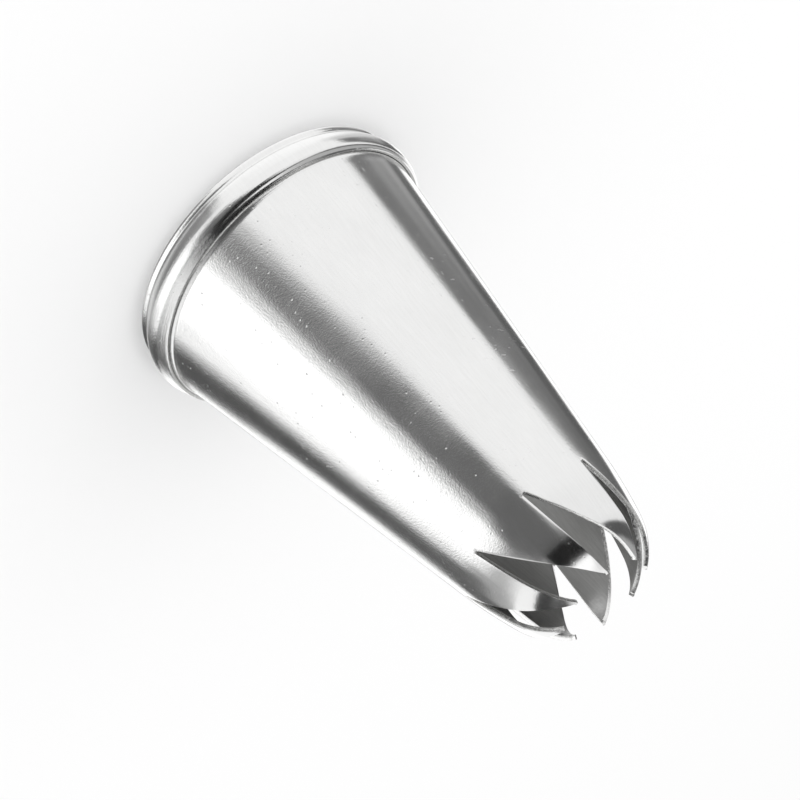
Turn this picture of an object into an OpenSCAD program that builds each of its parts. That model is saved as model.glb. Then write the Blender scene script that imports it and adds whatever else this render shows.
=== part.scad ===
// Drop-flower piping nozzle: one sheet of stainless steel, drawn to a cone,
// with a rolled rim at the wide end and a crown of twisted petals at the tip.
// It stands on its rim. The origin is the centre of the rim's resting face and
// +Z runs along the axis to the tip. All sizes are in millimetres.

/* [Overall size] */
// Outside diameter of the rolled rim
rim_d = 28.0; // [24:0.5:34]
// Height from the resting face to the tips of the petals
nozzle_h = 43.8; // [40:0.2:50]
// Thickness of the steel sheet
sheet_t = 0.4; // [0.3:0.05:0.5]

/* [Cone] */
// Diameter that the cone's outside line would have at the resting face
cone_base_d = 27.5; // [26:0.25:30]
// Slope of the cone's wall from the axis, in degrees
cone_angle = 9.5; // [8.5:0.25:10.5]

/* [Rolled rim] */
// Height of the rolled rim, up to its raw edge
roll_h = 3.8; // [3.4:0.1:4.4]
// Outside diameter of the folded lip that the nozzle stands on
lip_d = 27.0; // [26:0.25:30]
// Width of the flat that the lip is pressed to
lip_flat_w = 0.3; // [0.2:0.05:0.4]
// Width of the slit between the raw edge and the wall
edge_gap = 0.05; // [0.03:0.01:0.08]

/* [Petal crown] */
// Number of petals
petal_count = 8; // [6:1:9]
// Height of the round ends of the notches
notch_h = 36.0; // [34:0.2:38]
// Radius of the notches' round ends
notch_r = 0.15; // [0.1:0.05:0.25]
// Diameter of the circle that the petal tips lie on
tip_circle_d = 8.4; // [7.4:0.1:9.4]
// How far a petal leans round the axis from its root to its tip, in degrees
petal_twist = 38.5; // [30:0.5:42]

/* [Hidden] */

$fn = 96;
steel = "#c9ccce";

// ---- the sheet's outside line from the rim to the tips -----------------------
// cone, then a long soft arc, then a tight arc that turns the petals inward
bend_z = notch_h - 0.95;            // where the cone starts to turn in
bend_r = 43.3;                      // radius of the soft arc
bend_turn = 7.2;                    // how far the soft arc turns, in degrees
slope_1 = cone_angle + bend_turn;   // slope where the tight arc takes over
r_tip = tip_circle_d / 2;

function cone_r(z) = cone_base_d / 2 - tan(cone_angle) * z;

r_bend = cone_r(bend_z);
soft_cr = r_bend - bend_r * cos(cone_angle);     // centre of the soft arc
soft_cz = bend_z - bend_r * sin(cone_angle);
turn_r = soft_cr + bend_r * cos(slope_1);        // start of the tight arc
turn_z = soft_cz + bend_r * sin(slope_1);
slope_2 = 2 * atan((turn_r - r_tip) / (nozzle_h - turn_z)) - slope_1;
tight_r = (nozzle_h - turn_z) / (sin(slope_2) - sin(slope_1));
tight_cr = turn_r - tight_r * cos(slope_1);      // centre of the tight arc
tight_cz = turn_z - tight_r * sin(slope_1);

soft_steps = 4;
tight_steps = 12;

// points of an arc about [cr, cz], between two slopes, in equal steps
function arc_points(cr, cz, r, from, to, steps) =
    [for (i = [0:steps]) let (a = from + (to - from) * i / steps)
        [cr + r * cos(a), cz + r * sin(a)]];

// the crown's line from the bend to the tips, a distance d inside the outside
function crown_line(d) = concat(
    arc_points(soft_cr, soft_cz, bend_r - d, cone_angle, slope_1, soft_steps),
    [for (i = [1:tight_steps])
        arc_points(tight_cr, tight_cz, tight_r - d, slope_1, slope_2, tight_steps)[i]]);

// the cone's line a distance d inside the outside, at height z
function cone_point(z, d) = [cone_r(z) - d / cos(cone_angle), z];

// outside radius of the crown at height z
function crown_r(z) =
    z < bend_z ? cone_r(z)
    : z < turn_z ? soft_cr + sqrt(pow(bend_r, 2) - pow(z - soft_cz, 2))
    : tight_cr + sqrt(max(pow(tight_r, 2) - pow(z - tight_cz, 2), 0));

function reversed(p) = [for (i = [len(p) - 1:-1:0]) p[i]];

// ---- the rolled rim ---------------------------------------------------------
// The wall comes down in a small cove and a collar to the lip, is folded flat
// outward, and curls back up round a hollow bulge. Its raw edge is pressed thin
// against the foot of the cove.
rim_top = roll_h + 0.7;             // where the rim's zone ends on the cone
fold_r = sheet_t;                   // the lip is two sheets thick
lip_r = lip_d / 2 - fold_r;         // centre of the folded lip
bulge_r = rim_d / 2;
bulge_z = 0.55 * roll_h;            // height of the widest place
neck_z = 0.22 * roll_h;             // height of the groove over the lip
neck_out = lip_d / 2 - 0.09;
shoulder_z = 0.84 * roll_h;         // a soft corner, with a sloping top above it
shoulder_out = bulge_r - 0.2;

// the wall's outside line, from the cone down to the collar
cove_z = roll_h + 0.45;             // where the cone starts to flare
cove_w = 0.09;                      // how far it has flared at the raw edge
cove_foot_z = roll_h - 0.3;         // the wall is upright from the raw edge to here
cove_steps = 3;
collar_z = roll_h - 0.9;            // top of the collar
function cove_r(z) = cone_r(z) + cove_w * pow((cove_z - z) / (cove_z - roll_h), 2);
cove_out = cove_r(roll_h);
collar_foot = lip_r - fold_r;       // the collar's inside radius at the lip
collar_head = cove_out - 0.16 - sheet_t;

// the wall between the cove and the lip, a distance d inside its outside
function cove_wall(d) = concat(
    [for (i = [0:cove_steps]) let (z = cove_z - (cove_z - roll_h) * i / cove_steps)
        [cove_r(z) - d / cos(cone_angle), z]],
    [[cove_out - d, cove_foot_z], [collar_head + sheet_t - d, collar_z]]);

edge_w = 0.24;                      // thickness of the raw edge, pressed thin
edge_out = cove_out + edge_gap + edge_w;

// rounded runs between two stations, bulging outward at one end
lip_steps = 8;
curl_steps = 5;
function run_out(a, b) = [for (i = [1:curl_steps]) let (t = i / curl_steps)
    [a[0] + (b[0] - a[0]) * sin(90 * t), a[1] + (b[1] - a[1]) * t]];
function run_in(a, b) = [for (i = [1:curl_steps]) let (t = i / curl_steps)
    [a[0] + (b[0] - a[0]) * (1 - cos(90 * t)), a[1] + (b[1] - a[1]) * t]];

// the lip's outside quarter, from the flat to the neck
lip_curve = [for (i = [0:lip_steps]) let (a = -90 + 120 * i / lip_steps)
    [lip_r + lip_flat_w / 2 + (fold_r - lip_flat_w / 2) * cos(a),
     fold_r + fold_r * sin(a)]];
lip_inside = [for (i = [0:lip_steps]) let (a = -90 - 90 * i / lip_steps)
    [lip_r - lip_flat_w / 2 + (fold_r - lip_flat_w / 2) * cos(a),
     fold_r + fold_r * sin(a)]];

neck = [neck_out, neck_z];
bulge = [bulge_r, bulge_z];
shoulder = [shoulder_out, shoulder_z];
edge = [edge_out, roll_h];

curl_out = concat([neck], run_out(neck, bulge), run_in(bulge, shoulder), [edge]);
// the curl's inside line, one sheet in from its outside
neck_in = [lip_r + 0.06, neck_z + 0.35];
bulge_in = [bulge_r - sheet_t, bulge_z];
shoulder_in = [shoulder_out - sheet_t, shoulder_z - 0.2];
curl_in = concat(reversed(run_in(bulge_in, shoulder_in)), [bulge_in],
    reversed(run_out(neck_in, bulge_in)));

module rim_profile() {
    polygon(concat(
        [cone_point(rim_top, 0)],
        cove_wall(0),
        [[collar_foot + sheet_t, neck_in[1]]],
        reversed(curl_in),
        [[edge_out - edge_w, roll_h - 0.08]],
        reversed(curl_out),
        reversed(lip_curve),
        lip_inside,
        reversed(cove_wall(sheet_t)),
        [cone_point(rim_top, sheet_t)]));
}

// ---- the notches ------------------------------------------------------------
pitch = 360 / petal_count;
// a petal's half width at its root, which leaves a notch as wide as its round end
half_root = pitch / 2 - asin(notch_r / crown_r(notch_h));
split_z = notch_h + 0.25;           // the petals' zone starts here
cut_steps = 9;

// height along a notch, 0 at its round end and 1 at the tips
function cut_z(u) = notch_h + (nozzle_h - notch_h) * u;
// how far a petal's two edges stand ahead of its own tip, in degrees
function lead_edge(u) = (petal_twist + half_root) * pow(1 - u, 0.55);
function trail_edge(u) = (petal_twist - half_root) * pow(1 - u, 0.40);

tip_lean = -petal_twist;            // where a petal's tip is, from its root
notch_at = -pitch / 2;              // where a notch's round end is
cut_at = notch_at - 0.62 * pitch;   // the way each notch is cut
blunt = 0.985;                      // the tips end in a short blunt edge

// sideways place, seen along the cut, of angle a at height z
function side(a, z) = crown_r(min(z, nozzle_h)) * sin(a - cut_at);

// u runs faster near the tips, where the edges curve most
function cut_u(i) = blunt * (1 - pow(1 - i / cut_steps, 1.6));

module notch_outline() {
    polygon(concat(
        [for (i = [0:cut_steps]) let (u = cut_u(i), z = cut_z(u))
            [side(tip_lean + trail_edge(u), z), z]],
        [[side(tip_lean + trail_edge(blunt), nozzle_h), nozzle_h + 2],
         [side(tip_lean - pitch + lead_edge(blunt), nozzle_h), nozzle_h + 2]],
        [for (i = [cut_steps:-1:0]) let (u = cut_u(i), z = cut_z(u))
            [side(tip_lean - pitch + lead_edge(u), z), z]]));
    translate([side(notch_at, notch_h), notch_h]) circle(r = notch_r, $fn = 24);
}

// every notch, cut straight outward from the axis
module notches() {
    for (k = [0:petal_count - 1])
        rotate([0, 0, cut_at + k * pitch])
            rotate([90, 0, 90])
                linear_extrude(height = rim_d)
                    notch_outline();
}

// ---- the zones of the one sheet ----------------------------------------------
module rolled_rim() {
    color(steel) rotate_extrude() rim_profile();
}

module cone_wall() {
    color(steel) difference() {
        rotate_extrude()
            polygon([cone_point(rim_top, 0), cone_point(bend_z, 0),
                     for (p = crown_line(0)) if (p[1] < split_z && p[1] > bend_z) p,
                     [crown_r(split_z), split_z],
                     [crown_r(split_z) - sheet_t / cos(cone_angle), split_z],
                     cone_point(bend_z, sheet_t), cone_point(rim_top, sheet_t)]);
        notches();
    }
}

module petals() {
    color(steel) difference() {
        rotate_extrude()
            polygon(concat(
                [[crown_r(split_z), split_z]],
                [for (p = crown_line(0)) if (p[1] > split_z) p],
                reversed([for (p = crown_line(sheet_t)) if (p[1] > split_z) p]),
                [[crown_r(split_z) - sheet_t / cos(cone_angle), split_z]]));
        notches();
    }
}

rolled_rim();
cone_wall();
petals();
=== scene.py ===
# %% [markdown]
# # A drop-flower piping nozzle of stainless steel
#
# The real nozzle is one sheet of stainless steel, 0.4 mm thick. A press draws
# it into a cone, its wide edge is folded and rolled outward, and the narrow end
# is slotted into petals that a die twists and bends inward.
#
# The measuring was done in CAD, so this lesson starts by loading that part as a
# fixed frame. Everything made here is in metres, in the same place as the part.

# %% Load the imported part
from math import atan, atan2, cos, degrees, pi, radians, sin, sqrt, tan

import bpy
from mathutils import Matrix, Vector


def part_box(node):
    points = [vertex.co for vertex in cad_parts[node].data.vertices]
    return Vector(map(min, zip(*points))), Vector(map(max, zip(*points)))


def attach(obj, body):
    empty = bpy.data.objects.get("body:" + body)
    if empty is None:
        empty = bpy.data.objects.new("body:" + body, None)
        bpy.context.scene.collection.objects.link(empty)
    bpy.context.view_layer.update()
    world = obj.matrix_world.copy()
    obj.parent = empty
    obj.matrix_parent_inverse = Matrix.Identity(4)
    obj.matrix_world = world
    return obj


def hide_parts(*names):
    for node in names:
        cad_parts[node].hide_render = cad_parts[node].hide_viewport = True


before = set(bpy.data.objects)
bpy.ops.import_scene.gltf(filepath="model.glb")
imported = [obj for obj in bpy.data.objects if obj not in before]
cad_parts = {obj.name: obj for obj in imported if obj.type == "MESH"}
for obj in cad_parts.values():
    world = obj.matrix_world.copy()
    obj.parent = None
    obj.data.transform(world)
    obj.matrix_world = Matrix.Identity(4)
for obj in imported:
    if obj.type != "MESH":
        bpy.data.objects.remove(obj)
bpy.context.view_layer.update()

print("CAD nodes:", sorted(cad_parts))

# %% [markdown]
# ## Sizes
#
# The main heights and widths come from the boxes of the part's zones. What a box
# can't tell, such as the bends' radii and the petals' lean, is written down once,
# in millimetres turned to metres.

# %% Sizes of the sheet
MM = 0.001
SHEET = 0.4 * MM

rim_box, cone_box, petal_box = (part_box(n) for n in ("rolled_rim", "cone_wall", "petals"))
RIM_R = rim_box[1].x                    # outside radius of the rolled rim
RIM_TOP = rim_box[1].z                  # where the plain cone starts
CONE_R = cone_box[1].x                  # outside radius of the cone there
TIP_Z = petal_box[1].z                  # height of the petal tips
CONE_SLOPE = radians(9.5)               # from the axis

PETALS = 8
PITCH = 2 * pi / PETALS
NOTCH_Z = 36.0 * MM                     # height of the notches' round ends
NOTCH_R = 0.15 * MM                     # and their radius
TIP_R = 4.2 * MM                        # radius of the circle of tips
LEAN = radians(38.5)                    # how far a petal twists, root to tip

print("rim radius, cone radius, tip height in mm:",
      [round(v / MM, 2) for v in (RIM_R, CONE_R, TIP_Z)])

# %% [markdown]
# ## The line of the wall
#
# Seen in section, the wall is a straight cone, then a long soft arc, then a
# tight arc that turns the petals in towards the axis. A point on the arcs is
# named by its slope, which only ever grows, and that is simpler than naming it by
# its height. The end slope follows from the height and the circle of the tips.

# %% The section of cone and crown
def cone_radius(z):
    """Outside radius of the cone at a height."""
    return CONE_R - tan(CONE_SLOPE) * (z - RIM_TOP)


def arcsine(v):
    """Angle whose sine is v, with v kept between -1 and 1."""
    v = max(-1.0, min(1.0, v))
    return atan2(v, sqrt(1 - v * v))


SOFT_Z = NOTCH_Z - 0.95 * MM            # where the cone starts to turn in
SOFT_R = 43.3 * MM                      # radius of the soft arc
TURN_SLOPE = CONE_SLOPE + radians(7.2)  # slope where the tight arc takes over
soft_cr = cone_radius(SOFT_Z) - SOFT_R * cos(CONE_SLOPE)
soft_cz = SOFT_Z - SOFT_R * sin(CONE_SLOPE)
turn_r = soft_cr + SOFT_R * cos(TURN_SLOPE)
turn_z = soft_cz + SOFT_R * sin(TURN_SLOPE)
TIP_SLOPE = 2 * atan((turn_r - TIP_R) / (TIP_Z - turn_z)) - TURN_SLOPE
TIGHT_R = (TIP_Z - turn_z) / (sin(TIP_SLOPE) - sin(TURN_SLOPE))
tight_cr = turn_r - TIGHT_R * cos(TURN_SLOPE)
tight_cz = turn_z - TIGHT_R * sin(TURN_SLOPE)


def crown_point(slope, inset):
    """Radius and height of the bent wall at a slope, inset from its outside."""
    if slope < TURN_SLOPE:
        r, cr, cz = SOFT_R - inset, soft_cr, soft_cz
    else:
        r, cr, cz = TIGHT_R - inset, tight_cr, tight_cz
    return cr + r * cos(slope), cz + r * sin(slope)


def slope_at(z):
    """Slope of the bent wall where its outside is at height z."""
    if z < turn_z:
        return max(CONE_SLOPE, arcsine((z - soft_cz) / SOFT_R))
    return arcsine((z - tight_cz) / TIGHT_R)


print("the petals end at a slope of %.1f degrees" % degrees(TIP_SLOPE))

# %% [markdown]
# ## A flat pattern for one petal
#
# A metalworker would lay the nozzle out flat, cut it, and roll it up. The same
# works here. One petal and its strip of cone start as an upright grid. Each row
# of the grid is set to its height and width, and slid sideways by the petal's
# lean. Rows lie close together at the round end of the notch and at the tip,
# where the edges curve most. All lines are drawn down the middle of the sheet,
# because a wall is given its thickness later, to both sides.

# %% How wide a petal is, and how far it leans
HALF_ROOT = PITCH / 2 - arcsine(NOTCH_R / crown_point(slope_at(NOTCH_Z), 0)[0])
BLUNT = 0.985            # the edges stop meeting here, so a tip is a little blunt


def petal_edges(u):
    """The two edges at u, from 0 at the root to 1 at the tip, as angles from the root."""
    to_go = 1 - min(u, BLUNT)
    ahead = (LEAN + HALF_ROOT) * to_go ** 0.55
    behind = (LEAN - HALF_ROOT) * to_go ** 0.40
    return ahead - LEAN, behind - LEAN


print("a petal's root is %.1f degrees wide" % degrees(2 * HALF_ROOT))

# %% The rows of the pattern
PATTERN_R = 10 * MM      # the pattern's widths are those of a roll of this radius
COLUMNS = 24
CONE_ROWS = 16
CROWN_ROWS = 32

rows = []                # (height, mid radius, middle angle, width as an angle)
for i in range(CONE_ROWS):
    z = RIM_TOP + (SOFT_Z - RIM_TOP) * i / CONE_ROWS
    rows.append((z, cone_radius(z) - SHEET / 2 / cos(CONE_SLOPE), 0.0, PITCH))

below_notch = [slope_at(NOTCH_Z - NOTCH_R * k) for k in (4.0, 2.2, 1.0)]
for slope in [CONE_SLOPE] + below_notch:
    r, z = crown_point(slope, SHEET / 2)
    rows.append((z, r, 0.0, PITCH))

for k in (0.35, 0.7):    # the notch's round end
    r, z = crown_point(slope_at(NOTCH_Z - NOTCH_R * (1 - k)), SHEET / 2)
    gap = NOTCH_R * sqrt(1 - (1 - k) ** 2) / r
    rows.append((z, r, 0.0, PITCH - 2 * gap))

for i in range(CROWN_ROWS + 1):
    u = 1 - (1 - i / CROWN_ROWS) ** 1.5
    r, z = crown_point(slope_at(NOTCH_Z + (TIP_Z - NOTCH_Z) * u), SHEET / 2)
    ahead, behind = petal_edges(u)
    rows.append((z, r, (ahead + behind) / 2, ahead - behind))

print("rows:", len(rows), "columns:", COLUMNS)

# %% [markdown]
# ## Helpers for working by hand
#
# Blender's operators act on what is selected, so each step first clears the
# selection and then picks its own points by their place. A modifier is added,
# set and applied in one go, so that the next step works on plain mesh.

# %% Selecting points
def only(obj):
    """Make one object the selected and active one."""
    bpy.ops.object.select_all(action="DESELECT")
    obj.select_set(True)
    bpy.context.view_layer.objects.active = obj


def pick(obj, test):
    """Enter edit mode with just the points that pass the test selected."""
    if obj.mode == "EDIT":
        bpy.ops.object.mode_set(mode="OBJECT")
    for part in (obj.data.polygons, obj.data.edges):
        part.foreach_set("select", [False] * len(part))
    for v in obj.data.vertices:
        v.select = test(v)
    bpy.ops.object.mode_set(mode="EDIT")
    bpy.ops.mesh.select_mode(type="VERT")


def leave_edit():
    """Go back to object mode."""
    bpy.ops.object.mode_set(mode="OBJECT")


def apply_modifier(obj, kind, **settings):
    """Add a modifier with its settings, and apply it."""
    m = obj.modifiers.new(kind.title(), kind)
    for key, value in settings.items():
        setattr(m, key, value)
    only(obj)
    bpy.ops.object.modifier_apply(modifier=m.name)


print("helpers ready")

# %% [markdown]
# ## Cutting the pattern
#
# The grid is added upright. Its rows are picked one by one, resized to their
# width and moved to their height. It could also be drawn point by point in
# code, but rows of a grid are easy to check: there are as many as were listed.

# %% One petal, flat
bpy.ops.object.select_all(action="DESELECT")
bpy.ops.mesh.primitive_grid_add(
    x_subdivisions=COLUMNS, y_subdivisions=len(rows) - 1, size=1,
    rotation=(pi / 2, 0, 0))
nozzle = bpy.context.object
nozzle.name = "nozzle_sheet"
nozzle.data.name = "nozzle_sheet"
bpy.ops.object.transform_apply(location=False, rotation=True, scale=False)

row_step = 1 / (len(rows) - 1)
row_of = {v.index: round((v.co.z + 0.5) / row_step) for v in nozzle.data.vertices}
for n, (z, _, middle, width) in enumerate(rows):
    pick(nozzle, lambda v: row_of[v.index] == n)
    bpy.ops.transform.resize(value=(PATTERN_R * width, 1, 1), center_override=(0, 0, 0))
    bpy.ops.transform.translate(value=(PATTERN_R * middle, 0, z - (n * row_step - 0.5)))
leave_edit()
print("flat petal: %d points" % len(nozzle.data.vertices))

# %% [markdown]
# ## Rolling it up
#
# The petal is repeated side by side, and the whole band is bent round to a tube.
# Petals touch along the cone and nowhere above the notches, so merging close
# points joins the cone and leaves the petals free. Each row is then drawn in to
# its own radius, which makes the tube a cone with a crown.

# %% The rolled band
apply_modifier(nozzle, "ARRAY", count=PETALS, use_relative_offset=False,
               use_constant_offset=True,
               constant_offset_displace=(PATTERN_R * PITCH, 0, 0),
               use_merge_vertices=True, merge_threshold=1e-7)

xs = [v.co.x for v in nozzle.data.vertices]
apply_modifier(nozzle, "SIMPLE_DEFORM", deform_method="BEND", deform_axis="Z",
               angle=(max(xs) - min(xs)) / PATTERN_R)

pick(nozzle, lambda v: True)
bpy.ops.transform.translate(value=(0, -PATTERN_R, 0))
bpy.ops.mesh.remove_doubles(threshold=2e-6)
leave_edit()
spread = [sqrt(v.co.x ** 2 + v.co.y ** 2) for v in nozzle.data.vertices]
print("tube: %d points, radius %.4f to %.4f mm"
      % (len(spread), min(spread) / MM, max(spread) / MM))

# %% The cone and its crown
for z, r, *_ in rows:
    pick(nozzle, lambda v: abs(v.co.z - z) < 1e-6)
    bpy.ops.transform.resize(value=(r / PATTERN_R, r / PATTERN_R, 1),
                             center_override=(0, 0, 0))
leave_edit()
print("radius at the rim and at the tips: %.2f and %.2f mm"
      % (rows[0][1] / MM, rows[-1][1] / MM))

# %% [markdown]
# ## The path of the rim
#
# Under the cone the sheet flares in a small cove, runs down a short collar, folds
# back tightly at the lip that the nozzle stands on, and curls up round a hollow
# bulge. Its raw edge is pressed against the foot of the cove. In section that is
# one line with a few stations, and a smooth curve through them.

# %% Stations of the rim, from the cone to the raw edge
LIP_FOLD = 0.21 * MM                    # middle radius of the fold
LIP_R = 13.1 * MM                       # radius of the circle that it is folded on
LIP_Z = LIP_FOLD + SHEET / 2
BULGE_R = RIM_R - SHEET / 2 - 0.01 * MM
FOLD_STEPS = 10


def smooth_line(points, steps):
    """Catmull-Rom line through points, without its first."""
    line = []
    ends = [2 * Vector(points[0]) - Vector(points[1])]
    ends += [Vector(p) for p in points]
    ends += [2 * Vector(points[-1]) - Vector(points[-2])]
    for a, b, c, d in zip(ends, ends[1:], ends[2:], ends[3:]):
        for s in range(1, steps + 1):
            t = s / steps
            line.append(0.5 * ((2 * b) + (c - a) * t
                               + (2 * a - 5 * b + 4 * c - d) * t * t
                               + (3 * b - a - 3 * c + d) * t ** 3))
    return line


def mm_points(*pairs):
    """Radius and height in metres, from pairs in millimetres."""
    return [(r * MM, z * MM) for r, z in pairs]


wall = smooth_line([(rows[0][1], RIM_TOP)] + mm_points(
    (12.842, 4.217), (12.89, 4.0), (12.965, 3.82), (13.02, 3.68), (13.01, 3.48),
    (12.93, 3.2), (12.88, 2.85)) + [(LIP_R - LIP_FOLD, LIP_Z)], 2)
fold = [Vector((LIP_R + LIP_FOLD * cos(a), LIP_Z + LIP_FOLD * sin(a)))
        for a in (pi + pi * k / FOLD_STEPS for k in range(1, FOLD_STEPS + 1))]
curl = smooth_line([(LIP_R + LIP_FOLD, LIP_Z)] + mm_points(
    (13.23, 0.84), (13.5, 1.3), (13.74, 1.85)) + [(BULGE_R, 2.35 * MM)] + mm_points(
    (13.73, 2.8), (13.63, 3.1), (13.46, 3.39), (13.30, 3.67)), 3)
rim_path = wall + fold + curl
print("rim path: %d stations, %d of them round the lip" % (len(rim_path), len(fold)))

# %% [markdown]
# ## Extruding the rim
#
# On the mesh the wide edge is one ring of edges. It is extruded and resized again
# and again along that path, which is what the roller does to the steel. Each
# point's ring is noted on the way, for the steps that follow.

# %% The rolled rim
here_r, here_z = rows[0][1], RIM_TOP
pick(nozzle, lambda v: abs(v.co.z - here_z) < 1e-7)
for p in rim_path:
    bpy.ops.mesh.extrude_region_move(TRANSFORM_OT_translate={"value": (0, 0, p.y - here_z)})
    bpy.ops.transform.resize(value=(p.x / here_r, p.x / here_r, 1),
                             center_override=(0, 0, 0))
    here_r, here_z = p.x, p.y
leave_edit()

pick(nozzle, lambda v: True)
bpy.ops.mesh.remove_doubles(threshold=1e-6)
bpy.ops.mesh.normals_make_consistent(inside=False)
leave_edit()

ring_of = {}
for v in nozzle.data.vertices:
    reach = sqrt(v.co.x ** 2 + v.co.y ** 2)
    for k, p in enumerate(rim_path):
        if abs(v.co.z - p.y) < 1e-7 and abs(reach - p.x) < 1e-6:
            ring_of[v.index] = k
print("open sheet: %d points, of which %d in the rim" % (len(nozzle.data.vertices), len(ring_of)))

# %% [markdown]
# ## An edge that isn't quite level
#
# Drawn sheet never ends level, because it stretches more one way than the other,
# so the raw edge of a rolled rim wanders. Here the rings near it are tilted a
# little, most at the edge itself and not at all at the bulge, and the wall's cove
# goes with them.

# %% Tilting the rings near the raw edge
TILT = 1.3               # degrees, about a third of a millimetre up or down


def smooth_step(t):
    """From 0 to 1 with soft ends, as t goes from 0 to 1."""
    t = max(0.0, min(1.0, t))
    return t * t * (3 - 2 * t)


def share_of_tilt(z):
    """From 0 at the bulge and at the cone to 1 at the raw edge."""
    above_bulge = smooth_step((z - 3.0 * MM) / (0.6 * MM))
    below_cone = smooth_step((RIM_TOP - 0.1 * MM - z) / (0.7 * MM))
    return above_bulge * below_cone


tilted = 0
for k, p in enumerate(rim_path):
    share = share_of_tilt(p.y)
    if share > 0.01:
        pick(nozzle, lambda v: ring_of.get(v.index) == k)
        bpy.ops.transform.rotate(value=radians(TILT) * share, orient_axis="Y",
                                 orient_type="GLOBAL", center_override=(0, 0, p.y))
        tilted += 1
leave_edit()
edge_ring = [i for i, k in ring_of.items() if k == len(rim_path) - 1]
east = max(edge_ring, key=lambda i: nozzle.data.vertices[i].co.x)
west = min(edge_ring, key=lambda i: nozzle.data.vertices[i].co.x)
print("%d rings tilted; the edge is at %.2f mm at +X and %.2f mm at -X"
      % (tilted, nozzle.data.vertices[east].co.z / MM, nozzle.data.vertices[west].co.z / MM))

# %% [markdown]
# ## Thickness
#
# Solidify gives the sheet its 0.4 mm, half to each side of the line drawn. It can
# hand out materials as it goes: the outside keeps the first slot, the inside
# gets the second, and the faces round the border, which are the sheared edges, get
# the third.

# %% The solid sheet
for surface in ("drawn_steel", "inner_steel_painted_shade", "sheared_steel"):
    nozzle.data.materials.append(bpy.data.materials.new(surface))

open_points = len(nozzle.data.vertices)
apply_modifier(nozzle, "SOLIDIFY", thickness=SHEET, offset=0, use_even_offset=True,
               use_rim=True, material_offset=1, material_offset_rim=2)

counts = [0, 0, 0]
for face in nozzle.data.polygons:
    counts[face.material_index] += 1
print("faces outside, inside and on the edges:", counts)

# %% [markdown]
# Following the sheet round the fold, its inside comes out on top of the rim, but
# there it has been rolled and polished like the cone. So the inside's faces that look
# outward or down are picked and given the outside's slot. The first slot is the
# active one, which is what the operator assigns.

# %% The rolled side of the rim
def pick_faces(obj, test):
    """Enter edit mode with just the faces that pass the test selected."""
    pick(obj, lambda v: False)
    bpy.ops.mesh.select_mode(type="FACE")
    leave_edit()
    for face in obj.data.polygons:
        face.select = test(face)
    bpy.ops.object.mode_set(mode="EDIT")


def on_rolled_side(face):
    """True for the inside's faces on the lip and the bulge."""
    outward = face.normal.x * face.center.x + face.normal.y * face.center.y
    away_from_axis = outward > -0.2 * face.center.xy.length
    return face.material_index == 1 and face.center.z < RIM_TOP and away_from_axis


# The faces left in the inside's slot look in towards the axis, and they keep its painted shade.
pick_faces(nozzle, on_rolled_side)
nozzle.active_material_index = 0
bpy.ops.object.material_slot_assign()
leave_edit()
print("inside faces left:", sum(face.material_index == 1 for face in nozzle.data.polygons))

# %% [markdown]
# ## The raw edge, pressed thin
#
# The roller presses the raw edge against the wall, which thins it. Solidify
# keeps the points of the open sheet first and adds the other side's after them
# in the same order, so the inner corner of the edge can be found by number. It is
# moved outward and up until the edge is a bit over half as thick.

# %% Thinning the raw edge
corners = [(i, i + open_points) for i in edge_ring]


def reach_of(i):
    """How far a point is from the axis."""
    return nozzle.data.vertices[i].co.xy.length


inner_corner = {min(pair, key=reach_of) for pair in corners}
PRESSED = 0.15 * MM      # how far the corner goes outward
LIFTED = 0.12 * MM       # and how far up
corner_r = reach_of(next(iter(inner_corner)))
pick(nozzle, lambda v: v.index in inner_corner)
bpy.ops.transform.resize(value=(1 + PRESSED / corner_r, 1 + PRESSED / corner_r, 1),
                         center_override=(0, 0, 0))
bpy.ops.transform.translate(value=(0, 0, LIFTED))
leave_edit()
print("raw edge from %.2f to %.2f mm in radius"
      % (reach_of(next(iter(inner_corner))) / MM, max(map(reach_of, corners[0])) / MM))

# %% [markdown]
# ## Edges
#
# A fine bevel takes the sharpness off, as tumbling does, and it is what lets an
# edge catch the light. Shading is smooth except where faces meet at an angle.

# %% Bevel and shading
apply_modifier(nozzle, "BEVEL", width=0.06 * MM, segments=3, limit_method="ANGLE",
               angle_limit=radians(50))
only(nozzle)
bpy.ops.object.shade_smooth_by_angle(angle=radians(40))
nozzle.data.calc_loop_triangles()
print("nozzle_sheet: %d triangles" % len(nozzle.data.loop_triangles))

# %% [markdown]
# ## Its place in the part
#
# The whole nozzle is one rigid body, so the sheet rides on the root. It stands
# for all three zones of the CAD part, which are hidden.

# %% Tie the sheet to the part
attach(nozzle, "root")
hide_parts("rolled_rim", "cone_wall", "petals")
print("the sheet stands for the CAD's three zones")

# %% [markdown]
# ## The camera
#
# The camera looks down on the nozzle with the tip nearest, and is rolled over
# so that the tip points to the lower right of the picture. Two of its directions
# are written out, because a roll is easier to read as directions than as angles,
# and the third is square to both.

# %% Camera
CAMERA_AT = Vector((-0.04029, -0.16023, 0.10284))
IMAGE_RIGHT = Vector((-0.62043, 0.48304, 0.61785))
IMAGE_UP = Vector((-0.75236, -0.14419, -0.64277))

camera_data = bpy.data.cameras.new("camera")
camera = bpy.data.objects.new("camera", camera_data)
bpy.context.scene.collection.objects.link(camera)
right = IMAGE_RIGHT.normalized()
back = right.cross(IMAGE_UP).normalized()
up = back.cross(right)
turned = Matrix((right, up, back)).transposed().to_4x4()
camera.matrix_world = Matrix.Translation(CAMERA_AT) @ turned
camera_data.lens = 101.36               # mm
camera_data.sensor_width = 36
camera_data.clip_start = 0.01
camera_data.clip_end = 50
bpy.context.scene.camera = camera
print("camera %.0f mm from the origin" % (CAMERA_AT.length / MM))

# %% [markdown]
# ## Helpers for node trees
#
# A material is a small circuit. These helpers add a node, set its settings and
# plug in its inputs in one line, so a finish reads from top to bottom.

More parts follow.
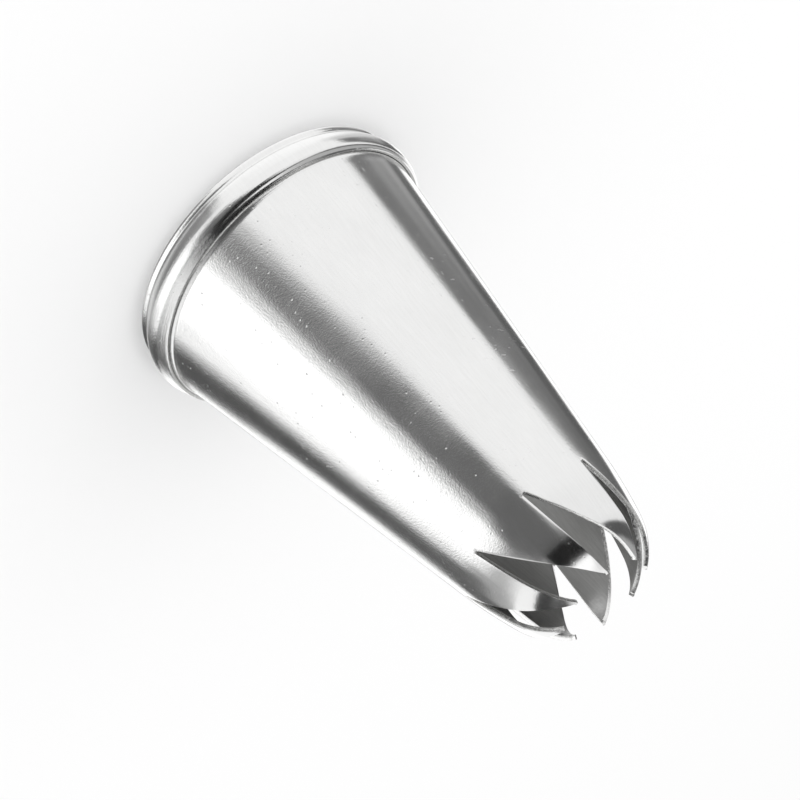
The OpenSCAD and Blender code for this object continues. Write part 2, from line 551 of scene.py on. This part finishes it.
# %% Building node trees
def node(tree, kind, place, inputs=None, **settings):
    """Add a node; an input is a value, or another node's output to plug in."""
    n = tree.nodes.new("ShaderNode" + kind)
    n.location = place
    for key, value in settings.items():
        setattr(n, key, value)
    for key, value in (inputs or {}).items():
        if isinstance(value, bpy.types.NodeSocket):
            tree.links.new(value, n.inputs[key])
        else:
            n.inputs[key].default_value = value
    return n


def calc(tree, place, operation, a, b=0.0, c=0.0):
    """Add one sum, such as MULTIPLY, of up to three numbers or outputs."""
    return node(tree, "Math", place, {0: a, 1: b, 2: c}, operation=operation).outputs[0]


def span(tree, place, value, low, high, to_low=0.0, to_high=1.0):
    """Stretch the range from low to high to another range, and cut off what is outside."""
    n = node(tree, "MapRange", place,
             {"Value": value, "From Min": low, "From Max": high,
              "To Min": to_low, "To Max": to_high})
    return n.outputs["Result"]


def noise(tree, place, vector, scale, detail=2.0, roughness=0.5):
    """A soft random pattern from 0 to 1, with about scale features to a unit."""
    n = node(tree, "TexNoise", place,
             {"Vector": vector, "Scale": scale, "Detail": detail, "Roughness": roughness})
    return n.outputs["Fac"]


print("node helpers ready")

# %% [markdown]
# ## Two ways to lay a pattern on the steel
#
# Grain from rolling and tumbling has no direction, so it reads the object's own
# coordinates. Draw lines run along the cone, from the rim to the tips, so they
# need a coordinate that changes fast round the axis and slowly along it. The
# direction out from the axis gives that, and it has no seam.

# %% Coordinates for grain and for draw lines
LENGTHWISE = 9.0         # how fast the lengthwise coordinates grow with the height


def place_on_piece(tree):
    """Where on the piece a point is, in metres."""
    return node(tree, "TexCoord", (-1800, 0)).outputs["Object"]


def from_axis(tree, place):
    """The height of a place, and the direction out to it from the axis."""
    parts = node(tree, "SeparateXYZ", (-1600, -200), {0: place}).outputs
    flat = node(tree, "CombineXYZ", (-1450, -200), {"X": parts["X"], "Y": parts["Y"]})
    outward = node(tree, "VectorMath", (-1300, -200), {0: flat.outputs[0]},
                   operation="NORMALIZE").outputs[0]
    return parts["Z"], outward


def lengthwise(tree, height, outward):
    """Coordinates that change fast round the axis and slowly along it."""
    ways = node(tree, "SeparateXYZ", (-1150, -200), {0: outward}).outputs
    slow = calc(tree, (-1150, -350), "MULTIPLY", height, LENGTHWISE)
    return node(tree, "CombineXYZ", (-1000, -200),
                {"X": ways["X"], "Y": ways["Y"], "Z": slow}).outputs[0]


print("coordinate helpers ready")

# %% [markdown]
# ## The finish of the outside
#
# Drawn stainless sheet is a mirror with many small faults. Rolling leaves a fine
# grain that scatters the edges of a reflection, drawing leaves faint lengthwise
# lines, and handling adds pits, a few short scratches and a dent or two. Nearly all
# of that is shape and not colour, so it goes into bump and roughness, and the
# colour only varies by a few hundredths. A number that is the same all over is set
# on the shader itself.

# %% Drawn steel
def set_steel(material, colour, roughness):
    """Make a material plain metal, and give its node tree and shader."""
    material.use_nodes = True
    shader = material.node_tree.nodes["Principled BSDF"]
    shader.inputs["Metallic"].default_value = 1.0
    shader.inputs["Base Color"].default_value = (*colour, 1)
    shader.inputs["Roughness"].default_value = roughness
    return material.node_tree, shader


def tint(tree, place, amount, dark, light):
    """A colour between two, by an amount from 0 to 1."""
    n = node(tree, "Mix", place, {"Factor": amount}, data_type="RGBA")
    n.inputs[6].default_value = (*dark, 1)
    n.inputs[7].default_value = (*light, 1)
    return n.outputs[2]


tree, shader = set_steel(nozzle.data.materials["drawn_steel"], (0.86, 0.86, 0.855), 0.12)
place = place_on_piece(tree)
height, outward = from_axis(tree, place)
along = lengthwise(tree, height, outward)
print("drawn steel starts as a plain mirror of roughness 0.12")

# %% [markdown]
# Each kind of mark is a pattern from 0 to 1. The grain's features are 0.15 mm wide.
# Draw lines and the wall's slow waves follow the lengthwise coordinates. Pits are
# round spots, at about half of the cells of a Voronoi pattern.

# %% Grain, lines, waves and pits
grain = noise(tree, (-800, 300), place, 6800, detail=3, roughness=0.65)
lines = noise(tree, (-800, 100), along, 60, detail=3, roughness=0.6)
waves = noise(tree, (-800, -100), along, 7, detail=1)

pits = node(tree, "TexVoronoi", (-800, -500), {"Vector": place, "Scale": 1500.0})
few = calc(tree, (-600, -600), "GREATER_THAN", pits.outputs["Color"], 0.5)
pit = calc(tree, (-600, -450), "MULTIPLY",
           span(tree, (-700, -450), pits.outputs["Distance"], 0.0, 0.16, 1.0, 0.0), few)
print("patterns of grain, draw lines, waves and pits")

# %% [markdown]
# Handling rubs one side of the nozzle more than the other. Grain and pits are
# strong there, weaker round the rest of it, and weakest near the tips. The rubbed
# side is given as a bearing round the axis, and how squarely a place faces it is
# the dot product of two directions.

# %% The rubbed side
RUBBED_SIDE = radians(-54)
facing = node(tree, "VectorMath", (-1000, 150),
              {0: outward, 1: (cos(RUBBED_SIDE), sin(RUBBED_SIDE), 0)},
              operation="DOT_PRODUCT").outputs["Value"]
rubbed = calc(tree, (-700, 200), "MULTIPLY",
              span(tree, (-800, 200), facing, 0.6, 0.85, 0.3, 1.0),
              span(tree, (-800, 0), height, 38 * MM, 33 * MM, 0.25, 1.0))
grain = calc(tree, (-600, 300), "MULTIPLY", grain, rubbed)
pit = calc(tree, (-450, -450), "MULTIPLY", pit, rubbed)
print("rubbed most at a bearing of %.0f degrees" % degrees(RUBBED_SIDE))

# %% [markdown]
# The rim has been through a roller. That leaves marks that run round it, from
# coordinates that change fast with the height, and fine wrinkles across its top,
# where the sheet was squeezed against the wall.

# %% Roll marks and wrinkles on the rim
under_cone = span(tree, (-800, -850), height, 4.2 * MM, 3.9 * MM)
over_bulge = span(tree, (-800, -700), height, 2.8 * MM, 3.1 * MM)
rim_top = calc(tree, (-600, -750), "MULTIPLY", over_bulge, under_cone)
wrinkles = calc(tree, (-400, -300), "MULTIPLY",
                noise(tree, (-800, -300), along, 150, detail=2), rim_top)

ways = node(tree, "SeparateXYZ", (-1150, -1700), {0: outward}).outputs
fast = calc(tree, (-1150, -1850), "MULTIPLY", height, 6000.0)
rings = node(tree, "CombineXYZ", (-1000, -1700), {"X": ways["X"], "Z": fast}).outputs[0]
roll_marks = calc(tree, (-600, -1700), "MULTIPLY",
                  noise(tree, (-800, -1700), rings, 1.0), under_cone)
print("roll marks round the rim and wrinkles across its top")

# %% [markdown]
# The relief is the sum of the marks, each times its full height in metres, so one
# bump node with a distance of one turns it into the right slopes. Pits go inward,
# so theirs is negative.

# %% Relief of the drawn steel
MICRON = 1e-6
marks = [(grain, 15), (roll_marks, 10), (lines, 1.2), (waves, 25), (pit, -24), (wrinkles, 3)]
relief = 0.0
for n, (mark, microns) in enumerate(marks):
    relief = calc(tree, (-300, 300 - 100 * n), "MULTIPLY_ADD", mark, microns * MICRON, relief)
print("relief: the sum of %d kinds of marks" % len(marks))

# %% [markdown]
# Scratches are where a stretched noise peaks, which gives short, thin, nearly
# parallel strokes, and a second noise keeps them to a few patches. They lie across
# the cone at a slant, as the nozzle is turned when it is pushed into a bag. Two
# shallow dents near the rim are listed.

# %% Scratches and dents
slanted = node(tree, "Mapping", (-1000, -900),
               {"Vector": place, "Rotation": (0.5, 0.35, 0.6), "Scale": (1.0, 0.06, 1.0)})
strokes = span(tree, (-600, -900), noise(tree, (-800, -900), slanted.outputs[0], 3800, detail=0),
               0.76, 0.8)
patches = span(tree, (-600, -1100), noise(tree, (-800, -1100), place, 160, detail=1), 0.5, 0.62)
scratch = calc(tree, (-450, -900), "MULTIPLY", strokes, patches)
relief = calc(tree, (-150, -200), "MULTIPLY_ADD", scratch, -1.5 * MICRON, relief)

DENTS = [(-156, 5.4, 0.75, 12), (-57, 5.0, 0.5, 10)]   # bearing, mm up, mm across, microns deep
for n, (bearing, up_mm, across, deep) in enumerate(DENTS):
    r = cone_radius(up_mm * MM)
    centre = (r * cos(radians(bearing)), r * sin(radians(bearing)), up_mm * MM)
    away = node(tree, "VectorMath", (-800, -1300 - 200 * n), {0: place, 1: centre},
                operation="DISTANCE").outputs["Value"]
    bowl = node(tree, "MapRange", (-600, -1300 - 200 * n),
                {"Value": away, "From Min": 0.0, "From Max": across / 2 * MM,
                 "To Min": 1.0, "To Max": 0.0}, interpolation_type="SMOOTHSTEP")
    relief = calc(tree, (-100, -300 - 100 * n), "MULTIPLY_ADD",
                  bowl.outputs["Result"], -deep * MICRON, relief)

bump = node(tree, "Bump", (100, -200), {"Height": relief, "Distance": 1.0, "Strength": 1.0})
tree.links.new(bump.outputs[0], shader.inputs["Normal"])
print("scratches in patches, and %d dents" % len(DENTS))

# %% [markdown]
# Roughness follows the same marks: pits and scratches are duller than the mirror
# round them, and fingers leave wide, soft, slightly duller patches.

# %% Roughness and colour of the drawn steel
smudges = noise(tree, (-800, 600), place, 220, detail=3, roughness=0.6)
dull = span(tree, (-500, 600), smudges, 0.35, 0.7, 0.10, 0.17)
dull = calc(tree, (-300, 600), "MULTIPLY_ADD", pit, 0.3, dull)
dull = calc(tree, (-200, 600), "MULTIPLY_ADD", scratch, 0.15, dull)
dull = calc(tree, (-100, 600), "MULTIPLY_ADD", rim_top, 0.03, dull)
tree.links.new(dull, shader.inputs["Roughness"])

mixed_steel = calc(tree, (-500, 850), "MULTIPLY_ADD", lines, 0.5,
                   calc(tree, (-650, 850), "MULTIPLY", smudges, 0.5))
colour = tint(tree, (-300, 850), span(tree, (-400, 850), mixed_steel, 0.3, 0.7),
              (0.82, 0.82, 0.815), (0.885, 0.885, 0.88))
tree.links.new(colour, shader.inputs["Base Color"])
print("roughness from 0.10 on clean steel to about 0.45 in a pit")

# %% [markdown]
# ## The finish of the inside
#
# The inside has been against the punch and has never been polished, so it is
# duller, with a soft satin look and the same lengthwise lines. Its colour is
# painted much darker than the outside's, as painted shade inside the cone.

# %% Inner steel
# This colour is set far darker than the outside steel's, as painted shade for the inside of the cone.
tree, shader = set_steel(nozzle.data.materials["inner_steel_painted_shade"], (0.51, 0.51, 0.505), 0.34)
place = place_on_piece(tree)
along = lengthwise(tree, *from_axis(tree, place))
satin = noise(tree, (-800, 300), place, 6000, detail=3, roughness=0.6)
punch_lines = noise(tree, (-800, 0), along, 50, detail=4, roughness=0.65)
relief = calc(tree, (-400, 200), "MULTIPLY", satin, 2.5 * MICRON)
relief = calc(tree, (-300, 100), "MULTIPLY_ADD", punch_lines, 5 * MICRON, relief)
bump = node(tree, "Bump", (0, 0), {"Height": relief, "Distance": 1.0, "Strength": 1.0})
tree.links.new(bump.outputs[0], shader.inputs["Normal"])
tree.links.new(span(tree, (-300, 400), satin, 0.3, 0.7, 0.28, 0.4), shader.inputs["Roughness"])
colour = tint(tree, (-300, 600), span(tree, (-500, 600), punch_lines, 0.3, 0.7),
              (0.46, 0.46, 0.455), (0.56, 0.56, 0.555))
tree.links.new(colour, shader.inputs["Base Color"])
print("inner steel: satin, roughness 0.28 to 0.40")

# %% [markdown]
# ## The finish of the sheared edges
#
# A shear cuts the first part of the sheet clean and tears the rest. The edge is
# bright bare metal, a little torn, with fine burrs that glint. The petals' edges
# show it most.

# %% Sheared steel
tree, shader = set_steel(nozzle.data.materials["sheared_steel"], (0.92, 0.92, 0.91), 0.25)
place = place_on_piece(tree)
torn = noise(tree, (-800, 300), place, 3600, detail=4, roughness=0.7)
burrs = noise(tree, (-800, 0), place, 9000, detail=1)
relief = calc(tree, (-400, 200), "MULTIPLY", torn, 9 * MICRON)
relief = calc(tree, (-300, 100), "MULTIPLY_ADD", burrs, 3 * MICRON, relief)
bump = node(tree, "Bump", (0, 0), {"Height": relief, "Distance": 1.0, "Strength": 1.0})
tree.links.new(bump.outputs[0], shader.inputs["Normal"])
tree.links.new(span(tree, (-300, 400), torn, 0.4, 0.65, 0.14, 0.3), shader.inputs["Roughness"])
colour = tint(tree, (-300, 600), span(tree, (-500, 600), torn, 0.35, 0.6),
              (0.86, 0.86, 0.85), (0.97, 0.97, 0.96))
tree.links.new(colour, shader.inputs["Base Color"])
print("sheared steel: torn grain, roughness 0.14 to 0.30")

# %% [markdown]
# ## The floor
#
# A large sheet of white paper. It is hidden from mirror reflections, because
# the surroundings below do that job for the steel.

# %% Floor
bpy.ops.object.select_all(action="DESELECT")
bpy.ops.mesh.primitive_plane_add(size=8)
floor = bpy.context.object
floor.name = "floor"
floor.visible_glossy = False
paper = bpy.data.materials.new("white_paper")
paper.use_nodes = True
paper_shader = paper.node_tree.nodes["Principled BSDF"]
paper_shader.inputs["Base Color"].default_value = (0.93, 0.93, 0.93, 1)
paper_shader.inputs["Roughness"].default_value = 0.9
paper_shader.inputs["Specular IOR Level"].default_value = 0.0
floor.data.materials.append(paper)
print("floor: 8 m of white paper")

# %% [markdown]
# ## The surroundings
#
# A polished cone shows its surroundings more than its own colour. In a studio it
# is placed between bright cards, with dark gaps between them that draw its form. The
# cards here are painted on the sky, and they stay where they are when the nozzle is
# looked at from another side. Each band below covers a range of heights above or
# below the horizon, and lists how bright it is round the compass, in degrees from
# the front. A cone mirrors lower bands towards its sides, so bands are tilted: they
# dip as they run from the front to the back.

# %% The bearing and the level of a ray
world = bpy.data.worlds.new("studio")
bpy.context.scene.world = world
world.use_nodes = True
world.cycles.sampling_method = "NONE"
sky = world.node_tree
sky.nodes.clear()

front = atan2(CAMERA_AT.y, CAMERA_AT.x)
ray = node(sky, "TexCoord", (-1600, 0)).outputs["Generated"]
turned_ray = node(sky, "VectorRotate", (-1400, 0), {"Vector": ray, "Angle": -front},
                  rotation_type="Z_AXIS").outputs[0]
ways = node(sky, "SeparateXYZ", (-1200, 0), {0: turned_ray}).outputs
compass = span(sky, (-800, 100), calc(sky, (-1000, 100), "ARCTAN2", ways["Y"], ways["X"]), -pi, pi)
DIP = 0.12               # how much lower a band is for each step of 1 towards the back
level = calc(sky, (-1000, -200), "SUBTRACT", ways["Z"],
             calc(sky, (-1100, -200), "MULTIPLY_ADD", ways["X"], DIP, -DIP))
print("the front is at a bearing of %.0f degrees" % degrees(front))

# %% [markdown]
# A band has the level at which it starts to show and the level at which it has
# taken over from the one before, as sines, and then its stops. Dark gaps are 0.2 or
# less, lit card is near 1, and the brightest card is over 1 and burns out to white.
#
# The cards beside the cone lean, so their edges shift from level to level. They are
# listed at four levels with the same stops, and thin bands in between carry each
# edge from one level to the next. All of them end in a dark gap straight behind the
# nozzle, which gives it a dark side when it is looked at from the back.

# %% Cards beside the cone
def gap_behind(stops):
    """The stops with the two halves of the dark gap added, one at each end."""
    return ([(-180, 0.12), (-171, 0.14), (-166, 1.3)] + stops
            + [(166, 1.3), (171, 0.14), (180, 0.12)])


CONE_CARDS = [
    (-0.22, gap_behind([
        (-152, 1.3), (-149, 0.15), (-138, 0.15), (-134, 0.4), (-128, 0.42), (-123, 0.3),
        (-118, 0.38), (-112, 0.3), (-108, 0.2), (-97, 0.2), (-90, 1.0), (-4, 1.0), (12, 0.2),
        (27, 0.2), (33, 0.55), (39, 1.4), (84, 1.4), (88, 0.35), (91, 0.35), (94, 0.95),
        (107, 0.95), (110, 0.1), (150, 0.1), (155, 1.3)])),
    (-0.15, gap_behind([
        (-155, 1.3), (-151, 0.12), (-134, 0.12), (-131, 0.26), (-127, 0.26), (-124, 0.16),
        (-120, 0.24), (-116, 0.2), (-110, 0.2), (-98, 0.2), (-92, 1.0), (-10, 1.0), (-2, 0.17),
        (26, 0.17), (31, 0.5), (36, 1.4), (95, 1.4), (97, 1.35), (98, 1.35), (99, 1.3), (101, 1.3),
        (105, 0.1), (133, 0.1), (137, 1.3)])),
    (-0.085, gap_behind([
        (-152, 1.3), (-148, 0.11), (-134, 0.12), (-131, 0.15), (-127, 0.17), (-124, 0.16),
        (-120, 0.2), (-116, 0.18), (-110, 0.2), (-98, 0.2), (-92, 1.0), (-19, 1.0), (-12, 0.13),
        (23, 0.13), (29, 0.5), (35, 1.4), (94, 1.4), (96, 1.35), (97, 1.35), (98, 1.3), (99, 1.3),
        (105, 0.11), (139, 0.11), (143, 1.3)])),
    (-0.03, gap_behind([
        (-146, 1.3), (-142, 0.12), (-136, 0.13), (-131, 0.14), (-127, 0.15), (-124, 0.15),
        (-120, 0.16), (-117, 0.18), (-114, 0.2), (-109, 0.25), (-104, 1.0), (-19, 1.0), (-13, 0.14),
        (31, 0.14), (37, 0.5), (43, 1.3), (76, 1.3), (82, 1.1), (88, 0.7), (93, 0.42), (98, 0.3),
        (106, 0.14), (143, 0.14), (147, 1.3)])),
]
print("cards beside the cone at %d levels" % len(CONE_CARDS))

# %% Thin bands between the levels
LEAN_STEPS = 4


def leaning_bands(cards):
    """Thin bands whose stops go step by step from each level's to the next's."""
    bands = []
    for (low, lower), (high, upper) in zip(cards, cards[1:]):
        for s in range(1, LEAN_STEPS + 1):
            t = s / LEAN_STEPS
            stops = [(a + (b - a) * t, p + (q - p) * t) for (a, p), (b, q) in zip(lower, upper)]
            bands.append(("cone cards", low + (high - low) * (s - 1) / LEAN_STEPS,
                          low + (high - low) * t, stops))
    return bands


print("%d thin bands beside the cone" % len(leaning_bands(CONE_CARDS)))

# %% All the bands, from the table up
BANDS = [
    ("table", None, None, [
        (-180, 1.1), (-90, 1.1), (0, 1.0), (15, 0.3), (80, 0.22), (95, 0.3), (130, 0.7), (180, 1.0)]),
    ("table edge", -0.56, -0.42, [
        (-180, 1.1), (-150, 0.75), (-98, 0.65), (-88, 1.0), (10, 1.0), (30, 1.3), (84, 1.3),
        (100, 0.75), (112, 0.5), (125, 0.15), (150, 0.14), (162, 0.7), (180, 1.2)]),
    ("low cards", -0.36, -0.26, CONE_CARDS[0][1]),
] + leaning_bands(CONE_CARDS) + [
    ("horizon", 0.02, 0.07, gap_behind([
        (-148, 1.25), (-142, 0.13), (-124, 0.14), (-110, 0.95), (-22, 0.95), (-14, 0.14),
        (44, 0.14), (53, 0.4), (62, 0.5), (85, 0.42), (100, 0.4), (118, 0.42), (127, 0.13),
        (143, 0.13), (148, 1.3)])),
    ("over the horizon", 0.13, 0.17, [
        (-180, 0.12), (-171, 0.14), (-165, 1.2), (-145, 1.2), (-120, 0.95), (-40, 0.95), (-30, 0.4),
        (-20, 0.14), (29, 0.14), (40, 0.5), (54, 0.75), (66, 1.0), (165, 1.2), (172, 0.14),
        (180, 0.12)]),
    ("camera", 0.2, 0.24, [
        (-180, 0.1), (-170, 0.12), (-163, 1.2), (-140, 0.9), (-44, 0.95), (-32, 0.3), (-25, 0.015),
        (16, 0.015), (26, 0.35), (40, 0.7), (58, 1.0), (165, 1.1), (173, 0.14), (180, 0.1)]),
    ("over the camera", 0.33, 0.37, [
        (-180, 0.1), (-168, 0.12), (-160, 1.1), (-148, 1.0), (-138, 0.1), (-80, 0.1), (-66, 0.8),
        (-48, 0.9), (-34, 0.2), (-26, 0.015), (16, 0.015), (26, 0.3), (42, 0.6), (58, 1.0),
        (165, 1.1), (173, 0.14), (180, 0.1)]),
    ("right flag", 0.48, 0.53, [
        (-180, 0.8), (-140, 0.1), (-70, 0.1), (-40, 0.015), (28, 0.015), (60, 0.06), (120, 0.06),
        (180, 0.6)]),
    ("high left card", 0.58, 0.64, [
        (-180, 0.6), (-130, 0.4), (-70, 0.45), (-40, 0.015), (28, 0.015), (60, 0.06), (120, 0.06),
        (180, 0.6)]),
    ("top card", 0.72, 0.8, [
        (-180, 0.6), (-130, 0.45), (-70, 0.5), (-35, 1.2), (35, 1.2), (65, 0.15), (120, 0.06),
        (180, 0.6)]),
    ("ceiling", 0.95, 1.05, [
        (-180, 1.0), (180, 1.0)]),
]
print("%d bands of cards, %d stops" % (len(BANDS), sum(len(stops) for *_, stops in BANDS)))

# %% [markdown]
# Each band is a colour ramp round the compass. They are laid one over the other
# from the table up, and each takes over from those below it as the level rises.

# %% Painting the bands
def compass_ramp(place, stops):
    """A ramp with a grey at each bearing of a band."""
    n = node(sky, "ValToRGB", place, {0: compass})
    ramp = n.color_ramp
    while len(ramp.elements) < len(stops):
        ramp.elements.new(0.5)
    for element, (bearing, bright) in zip(ramp.elements, stops):
        element.position = (bearing + 180) / 360
        element.color = (bright, bright, bright, 1)
    return n.outputs["Color"]


shown = None
for n, (_, start, full, stops) in enumerate(BANDS):
    band = compass_ramp((-600, 400 - 250 * n), stops)
    if shown is None:
        shown = band
        continue
    takes_over = span(sky, (-600, 300 - 250 * n), level, start, full)
    mix = node(sky, "Mix", (-200 + 100 * n, 300 - 250 * n), {"Factor": takes_over},
               data_type="RGBA")
    sky.links.new(shown, mix.inputs[6])
    sky.links.new(band, mix.inputs[7])
    shown = mix.outputs[2]
print("the sky has %d nodes" % len(sky.nodes))

# %% [markdown]
# Only mirror reflections see the cards. Everything else is lit by an even white
# sky, as inside a light tent, so the floor stays pale and its shadow soft.

# %% Light tent
TENT = 1.0
is_mirror = node(sky, "LightPath", (800, 300)).outputs["Is Glossy Ray"]
tent = node(sky, "Mix", (1000, 0), {"Factor": is_mirror, 6: (TENT, TENT, TENT, 1), 7: shown},
            data_type="RGBA")
glow = node(sky, "Background", (1200, 0), {"Color": tent.outputs[2]})
node(sky, "OutputWorld", (1400, 0), {"Surface": glow.outputs[0]})
print("light tent of strength %.1f" % TENT)

# %% [markdown]
# One weak softbox, high up, adds a little light to the floor. The steel doesn't
# mirror it, as it has the cards for that.

# %% Softbox
softbox_data = bpy.data.lights.new("softbox", "AREA")
softbox_data.size = 0.6
softbox_data.energy = 0.7
softbox = bpy.data.objects.new("softbox", softbox_data)
bpy.context.scene.collection.objects.link(softbox)
softbox.location = (-0.35, -0.25, 0.6)
softbox.rotation_euler = (-softbox.location).to_track_quat("-Z", "Y").to_euler()
softbox.visible_glossy = False
bpy.context.scene.view_settings.view_transform = "Standard"
print("softbox: %.1f m wide, %.1f W" % (softbox_data.size, softbox_data.energy))
